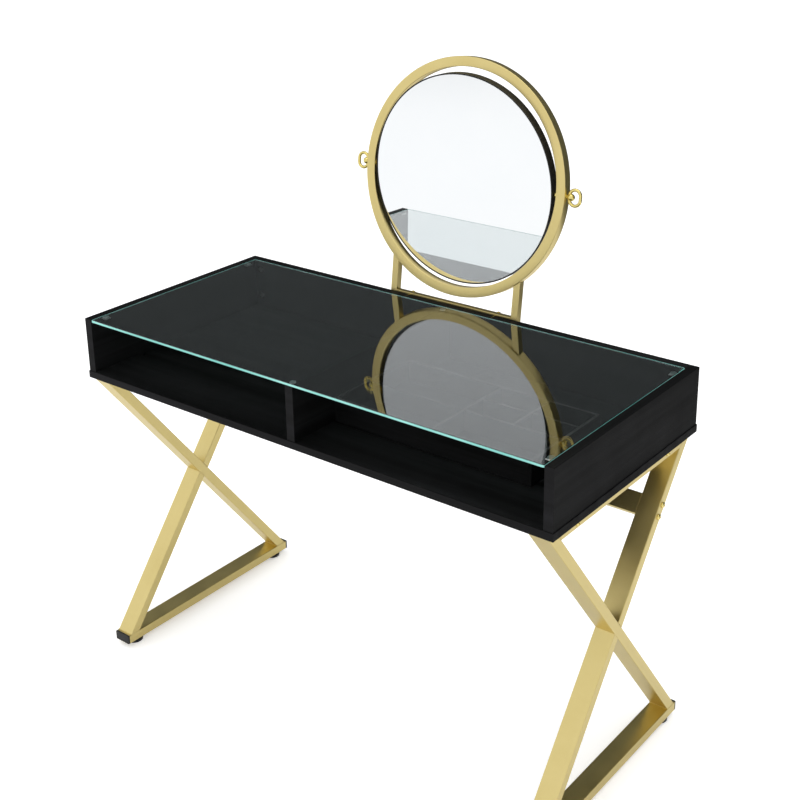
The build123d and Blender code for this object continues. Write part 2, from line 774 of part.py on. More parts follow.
for side, name in ((-1, "left_post"), (1, "right_post")):
    with BuildPart() as post:
        with BuildSketch(stand_plane):
            with Locations((side * post_spacing / 2, ring_centre_up / 2)):
                Rectangle(post_size, ring_centre_up)
        extrude(amount=-post_size)
        fillet(post.edges().filter_by(Axis((0, 0, 0), (0, sin(lean), cos(lean)))), radius=1.0)
        with BuildSketch(stand_plane.offset(ring_proud + 5)):
            with Locations((0, ring_centre_up)):
                Circle(ring_radius)
        extrude(amount=-ring_depth - 20, mode=Mode.SUBTRACT)
    finish(post, name)

with BuildPart() as stand_crossbar:
    bar_length = post_spacing - post_size
    bar_y = half_depth + crossbar_size / 2
    with BuildSketch(Plane.YZ.offset(-bar_length / 2)):
        with Locations((bar_y, crossbar_middle)):
            RectangleRounded(crossbar_size, crossbar_size, 1.0)
    extrude(amount=bar_length)
    with BuildSketch(rear_plane):
        with Locations(*[(side * stand_bolt_spacing / 2, crossbar_middle) for side in (-1, 1)]):
            Circle(bolt_radius + hole_clearance)
    extrude(amount=-crossbar_size, mode=Mode.SUBTRACT)
finish(stand_crossbar, "stand_crossbar")

bar_rear = Plane(
    (0, half_depth + crossbar_size, 0), x_dir=(1, 0, 0), z_dir=(0, -1, 0)
)
stand_bolt_places = [(side * stand_bolt_spacing / 2, crossbar_middle) for side in (-1, 1)]
with BuildPart() as stand_bolts:
    with BuildSketch(bar_rear):
        with Locations(*stand_bolt_places):
            Circle(bolt_radius)
    extrude(amount=crossbar_size + stand_bolt_depth)
    with BuildSketch(bar_rear):
        with Locations(*stand_bolt_places):
            Circle(stand_bolt_head_radius)
    extrude(amount=-bolt_head_height)
    fillet(stand_bolts.faces().sort_by(Axis.Y)[-2:].edges(), radius=bolt_head_height - 1)
    with BuildSketch(bar_rear.offset(-bolt_head_height)):
        with Locations(*stand_bolt_places):
            RegularPolygon(socket_radius, 6)
    extrude(amount=socket_depth, mode=Mode.SUBTRACT)
finish(stand_bolts, "stand_bolts")

cross_axis = Plane(pivot_plane.from_local_coords((0, ring_centre_up, 0)), z_dir=(1, 0, 0))
with BuildPart() as mirror_ring:
    with BuildSketch(stand_plane.offset(ring_back)):
        with Locations((0, ring_centre_up)):
            Circle(ring_radius)
            Circle(inner_radius, mode=Mode.SUBTRACT)
    extrude(amount=ring_depth)
    chamfer(mirror_ring.edges().filter_by(GeomType.CIRCLE), length=edge_round)
    with BuildSketch(stand_plane.offset(ring_back + tube_wall)):
        with Locations((0, ring_centre_up)):
            Circle(ring_radius - tube_wall)
            Circle(inner_radius + tube_wall, mode=Mode.SUBTRACT)
    extrude(amount=ring_depth - 2 * tube_wall, mode=Mode.SUBTRACT)
    with BuildSketch(cross_axis):
        Circle(pin_radius + pin_clearance)
    extrude(amount=ring_radius + 5, both=True, mode=Mode.SUBTRACT)
finish(mirror_ring, "mirror_ring")

# ---- mirror: black rim, backing board and silvered glass --------------------------------------
# The mirror is drawn from its own plane, through the pivots' axis and leaned less than the ring.
mirror_radius = inner_radius - mirror_gap
mirror_turn = radians(mirror_lean)
mirror_plane = Plane(
    cross_axis.origin, x_dir=(1, 0, 0), z_dir=(0, -cos(mirror_turn), sin(mirror_turn))
)
rim_front = ring_depth / 2 + mirror_rim_proud
rim_back = rim_front - mirror_rim_depth
rim_inner = mirror_radius - mirror_rim_wall
disc_radius = rim_inner - mirror_fit
glass_front = rim_front - mirror_glass_setback
glass_back = glass_front - mirror_glass_thickness
backing_back = glass_back - backing_thickness

with BuildPart() as mirror_rim:
    with BuildSketch(mirror_plane.offset(rim_back)):
        with Locations((0, -mirror_drop)):
            Circle(mirror_radius)
    extrude(amount=mirror_rim_depth)
    with BuildSketch(mirror_plane.offset(backing_back)):
        with Locations((0, -mirror_drop)):
            Circle(rim_inner)
    extrude(amount=rim_front - backing_back, mode=Mode.SUBTRACT)
    with BuildSketch(mirror_plane.offset(rim_back)):
        with Locations((0, -mirror_drop)):
            Circle(rim_inner - mirror_rim_lip)
    extrude(amount=mirror_rim_depth, mode=Mode.SUBTRACT)
    with BuildSketch(cross_axis):
        Circle(bush_radius + hole_clearance)
    extrude(amount=ring_radius, both=True, mode=Mode.SUBTRACT)
finish(mirror_rim, "mirror_rim")

with BuildPart() as mirror_backing:
    with BuildSketch(mirror_plane.offset(backing_back)):
        with Locations((0, -mirror_drop)):
            Circle(disc_radius)
    extrude(amount=backing_thickness)
    for side in (-1, 1):
        bush_back = Plane(
            cross_axis.origin + Vector(side * (disc_radius - bush_length), 0, 0),
            z_dir=(side, 0, 0),
        )
        with BuildSketch(bush_back):
            Circle(bush_radius + hole_clearance)
        extrude(amount=bush_length + 5, mode=Mode.SUBTRACT)
        with BuildSketch(bush_back):
            Circle(pin_radius + 1)
        extrude(amount=-6, mode=Mode.SUBTRACT)
finish(mirror_backing, "mirror_backing")

with BuildPart() as mirror_glass:
    with BuildSketch(mirror_plane.offset(glass_back)):
        with Locations((0, -mirror_drop)):
            Circle(disc_radius)
    extrude(amount=mirror_glass_thickness)
    chamfer(mirror_glass.faces().sort_by(Axis.Y)[0].edges(), length=1.0)
finish(mirror_glass, "mirror_glass")

# ---- pivots: bushes in the mirror, collars and ring-headed thumb screws ------------------------
rim_face = sqrt(mirror_radius**2 - mirror_drop**2)
ring_face = sqrt(inner_radius**2 - collar_radius**2)
for side, word in ((-1, "left"), (1, "right")):
    with BuildPart() as pivot_bush:
        with BuildSketch(Plane(
            cross_axis.origin + Vector(side * (disc_radius - bush_length), 0, 0),
            z_dir=(side, 0, 0),
        )):
            Circle(bush_radius)
            Circle(pin_radius + pin_clearance, mode=Mode.SUBTRACT)
        extrude(amount=bush_length)
    finish(pivot_bush, f"{word}_pivot_bush")

    with BuildPart() as pivot_collar:
        with BuildSketch(Plane(
            cross_axis.origin + Vector(side * (rim_face + collar_end_gap), 0, 0),
            z_dir=(side, 0, 0),
        )):
            Circle(collar_radius)
            Circle(pin_radius, mode=Mode.SUBTRACT)
        extrude(amount=ring_face - rim_face - 2 * collar_end_gap)
        chamfer(pivot_collar.edges().filter_by(GeomType.CIRCLE).sort_by(SortBy.RADIUS)[-2:], 0.8)
    finish(pivot_collar, f"{word}_pivot_collar")

    ball_x = side * (ring_radius + ball_gap + ball_radius)
    loop_x = side * (ring_radius + ball_gap + loop_width / 2)
    arc_radius = (loop_width - loop_wire) / 2
    arc_rise = (loop_height - loop_width) / 2
    tip_x = disc_radius - bush_length + pin_tip_gap
    centre = cross_axis.origin
    loop_plane = Plane(centre + Vector(loop_x, 0, 0), x_dir=(1, 0, 0), z_dir=stand_plane.z_dir)
    loop_up = stand_plane.y_dir
    with BuildPart() as thumb_screw:
        with BuildSketch(Plane(centre + Vector(side * tip_x, 0, 0), z_dir=(side, 0, 0))):
            Circle(pin_radius)
        extrude(amount=abs(ball_x) - tip_x)
        neck_x = ring_radius + collar_end_gap
        with BuildSketch(Plane(centre + Vector(side * neck_x, 0, 0), z_dir=(side, 0, 0))):
            Circle(neck_radius)
        extrude(amount=abs(ball_x) - neck_x)
        with Locations(centre + Vector(ball_x, 0, 0)):
            Sphere(ball_radius, rotation=(0, 0, 90 - side * 90))
        for end in (-1, 1):
            with BuildSketch(Plane(loop_plane.origin, x_dir=(1, 0, 0), z_dir=loop_up)):
                with Locations((-arc_radius, 0), (arc_radius, 0)):
                    Circle(loop_wire / 2)
            extrude(amount=end * arc_rise)
            bend_plane = Plane(
                loop_plane.origin + loop_up * (end * arc_rise), x_dir=(1, 0, 0), z_dir=loop_up
            )
            bend_axis = Axis(bend_plane.origin, stand_plane.z_dir)
            with BuildSketch(bend_plane):
                with Locations((end * arc_radius, 0)):
                    Circle(loop_wire / 2)
            revolve(axis=bend_axis, revolution_arc=180)
    finish(thumb_screw, f"{word}_thumb_screw")
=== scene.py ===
import math

import bmesh
import bpy
from mathutils import Matrix, Vector


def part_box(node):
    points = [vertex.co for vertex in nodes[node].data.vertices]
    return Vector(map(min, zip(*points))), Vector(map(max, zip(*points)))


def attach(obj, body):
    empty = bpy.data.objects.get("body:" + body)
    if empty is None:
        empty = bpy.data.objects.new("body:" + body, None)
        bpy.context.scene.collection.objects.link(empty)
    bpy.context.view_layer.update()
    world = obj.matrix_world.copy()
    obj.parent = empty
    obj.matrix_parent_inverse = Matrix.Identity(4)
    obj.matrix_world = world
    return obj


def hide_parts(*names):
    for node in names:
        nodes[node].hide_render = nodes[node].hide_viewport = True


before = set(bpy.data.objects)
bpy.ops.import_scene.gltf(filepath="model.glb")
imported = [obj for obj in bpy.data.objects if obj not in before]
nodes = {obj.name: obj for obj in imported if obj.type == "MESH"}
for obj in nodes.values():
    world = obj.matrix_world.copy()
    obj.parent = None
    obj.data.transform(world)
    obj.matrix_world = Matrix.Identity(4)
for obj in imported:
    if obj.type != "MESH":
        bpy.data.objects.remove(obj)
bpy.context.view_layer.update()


# ---------------------------------------------------------------------------------------------
# Case boards. Real ones are particle board under a thin black foil with a printed and pressed
# oak grain, which runs along the length of each board. Screws and cams hold them together.
# Their edges are slightly broken so that the foil doesn't chip.
# ---------------------------------------------------------------------------------------------
board_edge = 0.0006
same_point = 0.000002


def smoothed(name, mesh, sharp_degrees=35):
    """A new piece from a mesh, shaded smooth except where faces meet at a sharp angle."""
    mesh.polygons.foreach_set("use_smooth", [True] * len(mesh.polygons))
    mesh.set_sharp_from_angle(angle=math.radians(sharp_degrees))
    piece = bpy.data.objects.new(name, mesh)
    bpy.context.scene.collection.objects.link(piece)
    return piece


def settled(piece):
    """Turn what a piece's modifiers make into its own plain mesh, and remove the modifiers."""
    depsgraph = bpy.context.evaluated_depsgraph_get()
    result = bpy.data.meshes.new_from_object(piece.evaluated_get(depsgraph))
    piece.modifiers.clear()
    piece.data = result
    return piece


def broken_edges(node, body, width, segments=2):
    """A copy of a CAD piece with its flat faces joined and its sharp edges slightly rounded.

    A width of 0 keeps the CAD edges, which suits pieces whose faces are already rounded.
    """
    shell = bmesh.new()
    shell.from_mesh(nodes[node].data)
    bmesh.ops.remove_doubles(shell, verts=shell.verts, dist=same_point)
    flat = math.radians(0.5)
    bmesh.ops.dissolve_limit(shell, angle_limit=flat, verts=shell.verts, edges=shell.edges)
    mesh = bpy.data.meshes.new(node + "_finish")
    shell.to_mesh(mesh)
    shell.free()
    mesh.materials.clear()
    piece = smoothed(node + "_finish", mesh, 32)
    if width:
        rounding = piece.modifiers.new("broken edges", "BEVEL")
        rounding.width = width
        rounding.segments = segments
        rounding.limit_method = "ANGLE"
        rounding.angle_limit = math.radians(40)
        rounding.use_clamp_overlap = True
        rounding.harden_normals = False
        even = piece.modifiers.new("even shading", "WEIGHTED_NORMAL")
        even.keep_sharp = False
        settled(piece)
    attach(piece, body)
    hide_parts(node)
    return piece


def wired(group, kind, **values):
    """A new shader node in a material or group, with some of its settings or inputs given."""
    node = group.nodes.new(kind)
    for key, value in values.items():
        if key in node.inputs:
            node.inputs[key].default_value = value
        else:
            setattr(node, key, value)
    return node


def shader_group(name, inputs, outputs):
    """An empty shader node group with named inputs and outputs, and its two end nodes."""
    group = bpy.data.node_groups.new(name, "ShaderNodeTree")
    for label, kind, value in inputs:
        socket = group.interface.new_socket(label, in_out="INPUT", socket_type=kind)
        if value is not None:
            socket.default_value = value
    for label, kind in outputs:
        group.interface.new_socket(label, in_out="OUTPUT", socket_type=kind)
    return group, group.nodes.new("NodeGroupInput"), group.nodes.new("NodeGroupOutput")


FLOAT = "NodeSocketFloat"
VECTOR = "NodeSocketVector"


def make_grain_group():
    """Fine straight grain: long pores and wider bands, both drawn out along one axis."""
    group, given, made = shader_group(
        "long_grain",
        [("Coordinates", VECTOR, None), ("Pore Scale", FLOAT, 1.0), ("Seed", FLOAT, 0.0)],
        [("Pores", FLOAT), ("Bands", FLOAT)],
    )
    link = group.links.new
    offset = wired(group, "ShaderNodeCombineXYZ")
    link(given.outputs["Seed"], offset.inputs["Z"])
    placed = wired(group, "ShaderNodeVectorMath", operation="ADD")
    link(given.outputs["Coordinates"], placed.inputs[0])
    link(offset.outputs[0], placed.inputs[1])
    pore_stretch = (9.0, 900.0, 900.0)
    stretched = wired(group, "ShaderNodeMapping", Scale=pore_stretch)
    link(placed.outputs[0], stretched.inputs["Vector"])
    pores = wired(group, "ShaderNodeTexNoise", Detail=3.0, Roughness=0.65)
    link(stretched.outputs[0], pores.inputs["Vector"])
    link(given.outputs["Pore Scale"], pores.inputs["Scale"])
    pore_cut = wired(group, "ShaderNodeMapRange")
    pore_cut.inputs["From Min"].default_value = 0.50
    pore_cut.inputs["From Max"].default_value = 0.68
    link(pores.outputs["Fac"], pore_cut.inputs["Value"])
    band_stretch = (1.6, 46.0, 46.0)
    wide = wired(group, "ShaderNodeMapping", Scale=band_stretch)
    link(placed.outputs[0], wide.inputs["Vector"])
    bands = wired(group, "ShaderNodeTexNoise", Scale=1.0, Detail=4.0, Distortion=0.4)
    link(wide.outputs[0], bands.inputs["Vector"])
    link(pore_cut.outputs[0], made.inputs["Pores"])
    link(bands.outputs["Fac"], made.inputs["Bands"])
    return group


def make_wear_group():
    """Slow patches and faint speckle that break up an even finish, as handling and dust do."""
    group, given, made = shader_group(
        "handling_marks",
        [
            ("Coordinates", VECTOR, None),
            ("Patch Scale", FLOAT, 9.0),
            ("Speckle Scale", FLOAT, 900.0),
        ],
        [("Patches", FLOAT), ("Speckle", FLOAT)],
    )
    link = group.links.new
    patches = wired(group, "ShaderNodeTexNoise", Detail=5.0, Roughness=0.6)
    link(given.outputs["Coordinates"], patches.inputs["Vector"])
    link(given.outputs["Patch Scale"], patches.inputs["Scale"])
    speckle = wired(group, "ShaderNodeTexNoise", Detail=2.0, Roughness=0.5)
    link(given.outputs["Coordinates"], speckle.inputs["Vector"])
    link(given.outputs["Speckle Scale"], speckle.inputs["Scale"])
    link(patches.outputs["Fac"], made.inputs["Patches"])
    link(speckle.outputs["Fac"], made.inputs["Speckle"])
    return group


long_grain = make_grain_group()
handling_marks = make_wear_group()


def empty_material(name):
    """A material with its coordinates, its principled shader and nothing in between yet."""
    material = bpy.data.materials.new(name)
    material.use_nodes = True
    tree = material.node_tree
    tree.nodes.clear()
    surface = tree.nodes.new("ShaderNodeBsdfPrincipled")
    output = tree.nodes.new("ShaderNodeOutputMaterial")
    tree.links.new(surface.outputs[0], output.inputs["Surface"])
    return material, tree, tree.nodes.new("ShaderNodeTexCoord"), surface


def ranged(tree, source, low, high, result_low, result_high):
    """A value remapped from one range to another."""
    node = wired(tree, "ShaderNodeMapRange")
    node.inputs["From Min"].default_value = low
    node.inputs["From Max"].default_value = high
    node.inputs["To Min"].default_value = result_low
    node.inputs["To Max"].default_value = result_high
    tree.links.new(source, node.inputs["Value"])
    return node.outputs[0]


def mixed_colour(tree, amount, low, high):
    """A colour between two others, by an amount that changes over the surface."""
    node = wired(tree, "ShaderNodeMix", data_type="RGBA")
    colour_a, colour_b, colour_result = 6, 7, 2
    node.inputs[colour_a].default_value = (*low, 1.0)
    node.inputs[colour_b].default_value = (*high, 1.0)
    tree.links.new(amount, node.inputs["Factor"])
    return node.outputs[colour_result]


def bumped(tree, height, distance, strength, surface):
    """Small relief on a surface."""
    node = wired(tree, "ShaderNodeBump", Distance=distance, Strength=strength)
    tree.links.new(height, node.inputs["Height"])
    tree.links.new(node.outputs[0], surface.inputs["Normal"])


def black_foil(name, turn, dark, light, seed):
    """Black oak-grain foil; turn lays the grain along X, Y or Z."""
    material, tree, where, surface = empty_material(name)
    link = tree.links.new
    laid = wired(tree, "ShaderNodeMapping", Rotation=turn)
    link(where.outputs["Object"], laid.inputs["Vector"])
    grain = wired(tree, "ShaderNodeGroup", node_tree=long_grain)
    grain.inputs["Seed"].default_value = seed
    link(laid.outputs[0], grain.inputs["Coordinates"])
    marks = wired(tree, "ShaderNodeGroup", node_tree=handling_marks)
    link(where.outputs["Object"], marks.inputs["Coordinates"])
    shade = ranged(tree, grain.outputs["Bands"], 0.3, 0.7, 0.0, 1.0)
    link(mixed_colour(tree, shade, dark, light), surface.inputs["Base Color"])
    link(ranged(tree, marks.outputs["Patches"], 0.3, 0.7, 0.42, 0.52), surface.inputs["Roughness"])
    surface.inputs["Specular IOR Level"].default_value = 0.03
    bumped(tree, grain.outputs["Pores"], 0.00012, 0.45, surface)
    return material


along_x = (0.0, 0.0, 0.0)
along_y = (0.0, 0.0, -math.pi / 2)
foil_dark = (0.003, 0.003, 0.003)
foil_light = (0.0110, 0.0113, 0.0115)
foil_along_x = black_foil("black_foil_long_grain", along_x, foil_dark, foil_light, 0.0)
foil_along_y = black_foil("black_foil_side_grain", along_y, foil_dark, foil_light, 3.0)
# Front edges: black banding, painted lighter than the faces as a highlight where they catch the
# light.
edge_banding_and_highlight = black_foil("black_front_edge_foil_painted_highlight", along_x, (0.011,) * 3, (0.018, 0.018, 0.0195), 7.0)


def banded_with_highlight(piece, face_material):
    """Foil on a board's faces, and black edge banding painted lighter as a highlight on the edge
    that faces the sitter.
    """
    piece.data.materials.append(face_material)
    piece.data.materials.append(edge_banding_and_highlight)
    front = min(v.co.y for v in piece.data.vertices)
    for polygon in piece.data.polygons:
        on_edge = polygon.normal.y < -0.9 and polygon.center.y < front + 0.001
        polygon.material_index = 1 if on_edge else 0


for board in ("bottom_board", "back_panel"):
    banded_with_highlight(broken_edges(board, "root", board_edge), foil_along_x)
for board in ("left_side_panel", "right_side_panel", "centre_partition"):
    banded_with_highlight(broken_edges(board, "root", board_edge), foil_along_y)


# ---------------------------------------------------------------------------------------------
# Glass top. A loose pane of clear 5 mm float glass with ground and polished edges, which show
# the glass's green; a painted glow in that green is added on the edges. It drops in between the
# side panels, flush with their tops. Its index is set above float glass's real 1.52, because with
# that its reflections came out too weak.
# ---------------------------------------------------------------------------------------------
def clear_float_glass():
    material, tree, where, surface = empty_material("clear_float_glass")
    link = tree.links.new
    surface.inputs["Base Color"].default_value = (0.71, 0.76, 0.76, 1.0)
    surface.inputs["Transmission Weight"].default_value = 1.0
    surface.inputs["IOR"].default_value = 1.75
    surface.inputs["Specular IOR Level"].default_value = 1.0
    marks = wired(tree, "ShaderNodeGroup", node_tree=handling_marks)
    link(where.outputs["Object"], marks.inputs["Coordinates"])
    link(ranged(tree, marks.outputs["Patches"], 0.55, 0.8, 0.0, 0.004), surface.inputs["Roughness"])
    rays = wired(tree, "ShaderNodeLightPath")
    open_way = wired(tree, "ShaderNodeBsdfTransparent", Color=(0.80, 0.90, 0.89, 1.0))
    choice = wired(tree, "ShaderNodeMixShader")
    link(rays.outputs["Is Shadow Ray"], choice.inputs[0])
    link(surface.outputs[0], choice.inputs[1])
    link(open_way.outputs[0], choice.inputs[2])
    output = next(n for n in tree.nodes if n.type == "OUTPUT_MATERIAL")
    link(choice.outputs[0], output.inputs["Surface"])
    return material


def green_glass_edge_and_glow():
    material, tree, where, surface = empty_material("polished_green_pane_edge_painted_glow")
    link = tree.links.new
    marks = wired(tree, "ShaderNodeGroup", node_tree=handling_marks)
    marks.inputs["Patch Scale"].default_value = 6.0
    link(where.outputs["Object"], marks.inputs["Coordinates"])
    shade = ranged(tree, marks.outputs["Patches"], 0.35, 0.65, 0.0, 1.0)
    tint = mixed_colour(tree, shade, (0.16, 0.50, 0.45), (0.32, 0.68, 0.62))
    link(tint, surface.inputs["Base Color"])
    surface.inputs["Roughness"].default_value = 0.12
    surface.inputs["Transmission Weight"].default_value = 0.25
    surface.inputs["IOR"].default_value = 1.52
    # The edges also glow in their own green through an emission: a painted glow, not a lamp.
    link(tint, surface.inputs["Emission Color"])
    surface.inputs["Emission Strength"].default_value = 0.45
    return material


def flat_shaded(piece):
    """Flat faces with no blending across edges, so that a pane reflects without bending."""
    for polygon in piece.data.polygons:
        polygon.use_smooth = False
    return piece


glass_pane = flat_shaded(broken_edges("glass_top", "root", 0.0))
glass_pane.data.materials.append(clear_float_glass())
glass_pane.data.materials.append(green_glass_edge_and_glow())
for polygon in glass_pane.data.polygons:
    polygon.material_index = 1 if abs(polygon.normal.z) < 0.3 else 0


# ---------------------------------------------------------------------------------------------
# Glass supports. Zinc-plated spade pegs push into the side panels near each corner, with a
# clear soft pad on each, and two clear bumpers are stuck on the partition's top edge.
# ---------------------------------------------------------------------------------------------
def plain_metal(name, low, high, roughness_low, roughness_high, relief):
    """Bare, plated or painted metal, slightly patchy, with a fine orange-peel or plating grain."""
    material, tree, where, surface = empty_material(name)
    link = tree.links.new
    marks = wired(tree, "ShaderNodeGroup", node_tree=handling_marks)
    marks.inputs["Patch Scale"].default_value = 14.0
    marks.inputs["Speckle Scale"].default_value = 1400.0
    link(where.outputs["Object"], marks.inputs["Coordinates"])
    shade = ranged(tree, marks.outputs["Patches"], 0.3, 0.7, 0.0, 1.0)
    link(mixed_colour(tree, shade, low, high), surface.inputs["Base Color"])
    rough = ranged(tree, marks.outputs["Patches"], 0.3, 0.7, roughness_low, roughness_high)
    link(rough, surface.inputs["Roughness"])
    surface.inputs["Metallic"].default_value = 1.0
    bumped(tree, marks.outputs["Speckle"], relief, 0.25, surface)
    return material


def soft_plastic(name, low, high, roughness, specular, transmission=0.0):
    """Moulded plastic or rubber with faint cloudiness and a fine moulded grain."""
    material, tree, where, surface = empty_material(name)
    link = tree.links.new
    marks = wired(tree, "ShaderNodeGroup", node_tree=handling_marks)
    marks.inputs["Patch Scale"].default_value = 60.0
    marks.inputs["Speckle Scale"].default_value = 2600.0
    link(where.outputs["Object"], marks.inputs["Coordinates"])
    shade = ranged(tree, marks.outputs["Patches"], 0.3, 0.7, 0.0, 1.0)
    link(mixed_colour(tree, shade, low, high), surface.inputs["Base Color"])
    rough = ranged(tree, marks.outputs["Speckle"], 0.3, 0.7, roughness - 0.05, roughness + 0.08)
    link(rough, surface.inputs["Roughness"])
    surface.inputs["Specular IOR Level"].default_value = specular
    surface.inputs["Transmission Weight"].default_value = transmission
    bumped(tree, marks.outputs["Speckle"], 0.00006, 0.3, surface)
    return material


zinc = plain_metal("zinc_plating", (0.52, 0.52, 0.50), (0.68, 0.68, 0.66), 0.28, 0.42, 0.00003)
clear_pad = soft_plastic("clear_soft_pad", (0.62, 0.68, 0.67), (0.80, 0.84, 0.83), 0.18, 0.6, 0.35)


def finished(node, body, material, width=0.0, segments=2):
    """A CAD piece copied with broken edges and given one finish."""
    piece = broken_edges(node, body, width, segments)
    piece.data.materials.append(material)
    return piece


finished("glass_support_pegs", "root", zinc, 0.0003)
finished("glass_pads", "root", clear_pad, 0.0005, 3)
finished("partition_bumpers", "root", clear_pad, 0.0005, 3)


# ---------------------------------------------------------------------------------------------
# Hidden and half-hidden fixings of the case: cam locks turned flush into the back panel, their
# bolts, dowels in the partition, and long wood screws up through the bottom board.
# ---------------------------------------------------------------------------------------------
beech = black_foil("plain_beech", along_y, (0.38, 0.24, 0.12), (0.55, 0.38, 0.21), 1.0)
for node in ("cam_locks", "cam_bolts", "case_screws", "rail_screws", "glide_nuts"):
    finished(node, "root", zinc, 0.0002)
finished("partition_dowels", "root", beech, 0.0006)


# ---------------------------------------------------------------------------------------------
# Jewellery tray. A shallow open box of thin foil-covered boards that slides on the bottom board,
# with dividers that slot together half and half where they cross. Their top faces are painted
# paler, as a painted highlight where the top edges catch the light.
# ---------------------------------------------------------------------------------------------
tray_edge = 0.0004
# The tray boards' top faces are painted paler than their foil: a painted highlight where the top
# edges catch the light.
tray_top_highlight_dark, tray_top_highlight_light = (0.045, 0.042, 0.040), (0.075, 0.070, 0.066)
tray_top_highlight_foil = black_foil("black_tray_top_painted_highlight", along_x, tray_top_highlight_dark, tray_top_highlight_light, 5.0)


def with_painted_top_highlights(piece):
    """A paler finish on the top faces of a tray board: a painted highlight where its top edges
    catch the light.
    """
    piece.data.materials.append(tray_top_highlight_foil)
    top = max(v.co.z for v in piece.data.vertices)
    for polygon in piece.data.polygons:
        if polygon.normal.z > 0.9 and polygon.center.z > top - 0.001:
            polygon.material_index = 1


tray_wide = ("tray_front_wall", "tray_back_wall", "tray_long_divider", "tray_short_divider")
tray_deep = ("tray_left_wall", "tray_right_wall", "tray_depth_divider", "tray_small_divider")
finished("tray_base", "tray", foil_along_x, tray_edge)
for node in tray_wide:
    with_painted_top_highlights(finished(node, "tray", foil_along_x, tray_edge))
for node in tray_deep:
    with_painted_top_highlights(finished(node, "tray", foil_along_y, tray_edge))


# ---------------------------------------------------------------------------------------------
# Leg frames. 40 x 20 mm steel tube, cut and welded into an X on a bottom rail and under a top
# rail, with a satin champagne-gold coat. The top rails are screwed up into the bottom board.
# ---------------------------------------------------------------------------------------------
gold_low = (0.70, 0.57, 0.235)
gold_high = (0.75, 0.62, 0.270)
gold_coat = plain_metal("champagne_gold_coat", gold_low, gold_high, 0.30, 0.40, 0.00005)
for side in ("left", "right"):
    for tube in ("through_leg", "upper_leg", "lower_leg", "top_rail", "bottom_rail"):
        finished(f"{side}_{tube}", "root", gold_coat, 0.0003)
for node in ("front_cross_rail", "rear_cross_rail", "rear_stretcher"):
    finished(node, "root", gold_coat, 0.0003)


# ---------------------------------------------------------------------------------------------
# Weld beads. Each leg is welded all round where it meets the rails; beads are laid here around
# the feet of the legs on the bottom rails. The beads are small and even, ground lightly and under
# the same gold coat as the tubes.
# ---------------------------------------------------------------------------------------------
def make_weld_tree():
    """Overlapping drops of varied size laid along a path, as a welding torch leaves them."""
    tree = bpy.data.node_groups.new("weld_bead", "GeometryNodeTree")
    tree.is_modifier = True
    face = tree.interface
    face.new_socket("Path", in_out="INPUT", socket_type="NodeSocketGeometry")
    sizes = {}
    for label, value in (("Drop Spacing", 0.0013), ("Drop Radius", 0.0012), ("Unevenness", 0.25)):
        socket = face.new_socket(label, in_out="INPUT", socket_type="NodeSocketFloat")
        socket.default_value = value
        sizes[label] = socket.identifier
    finish = face.new_socket("Finish", in_out="INPUT", socket_type="NodeSocketMaterial")
    sizes["Finish"] = finish.identifier
    face.new_socket("Beads", in_out="OUTPUT", socket_type="NodeSocketGeometry")
    add = tree.nodes.new
    link = tree.links.new
    given, made = add("NodeGroupInput"), add("NodeGroupOutput")
    to_curve = add("GeometryNodeMeshToCurve")
    link(given.outputs["Path"], to_curve.inputs["Mesh"])
    spaced = add("GeometryNodeCurveToPoints")
    spaced.mode = "LENGTH"
    link(to_curve.outputs["Curve"], spaced.inputs["Curve"])
    link(given.outputs["Drop Spacing"], spaced.inputs["Length"])
    drop = add("GeometryNodeMeshIcoSphere")
    drop.inputs["Subdivisions"].default_value = 2
    link(given.outputs["Drop Radius"], drop.inputs["Radius"])
    smallest = add("ShaderNodeMath")
    smallest.operation = "SUBTRACT"
    smallest.inputs[0].default_value = 1.0
    link(given.outputs["Unevenness"], smallest.inputs[1])
    uneven = add("FunctionNodeRandomValue")
    uneven.data_type = "FLOAT"
    uneven.inputs["Seed"].default_value = 11
    link(smallest.outputs[0], uneven.inputs[2])
    uneven.inputs[3].default_value = 1.0
    laid = add("GeometryNodeInstanceOnPoints")
    link(spaced.outputs["Points"], laid.inputs["Points"])
    link(drop.outputs["Mesh"], laid.inputs["Instance"])
    link(uneven.outputs[1], laid.inputs["Scale"])
    real = add("GeometryNodeRealizeInstances")
    link(laid.outputs["Instances"], real.inputs["Geometry"])
    smooth = add("GeometryNodeSetShadeSmooth")
    link(real.outputs["Geometry"], smooth.inputs["Geometry"])
    coated = add("GeometryNodeSetMaterial")
    link(smooth.outputs["Geometry"], coated.inputs["Geometry"])
    link(given.outputs["Finish"], coated.inputs["Material"])
    link(coated.outputs["Geometry"], made.inputs["Beads"])
    return tree, sizes


weld_tree, weld_inputs = make_weld_tree()


def laid_weld(name, loops):
    """Weld beads along closed loops of corner points."""
    mesh = bpy.data.meshes.new(name)
    points, edges = [], []
    for loop in loops:
        start = len(points)
        points += loop
        edges += [(start + i, start + (i + 1) % len(loop)) for i in range(len(loop))]
    mesh.from_pydata(points, edges, [])
    piece = bpy.data.objects.new(name, mesh)
    bpy.context.scene.collection.objects.link(piece)
    torch = piece.modifiers.new("beads", "NODES")
    torch.node_group = weld_tree
    torch[weld_inputs["Drop Radius"]] = 0.0011
    torch[weld_inputs["Finish"]] = gold_coat
    settled(piece)
    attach(piece, "root")
    return piece


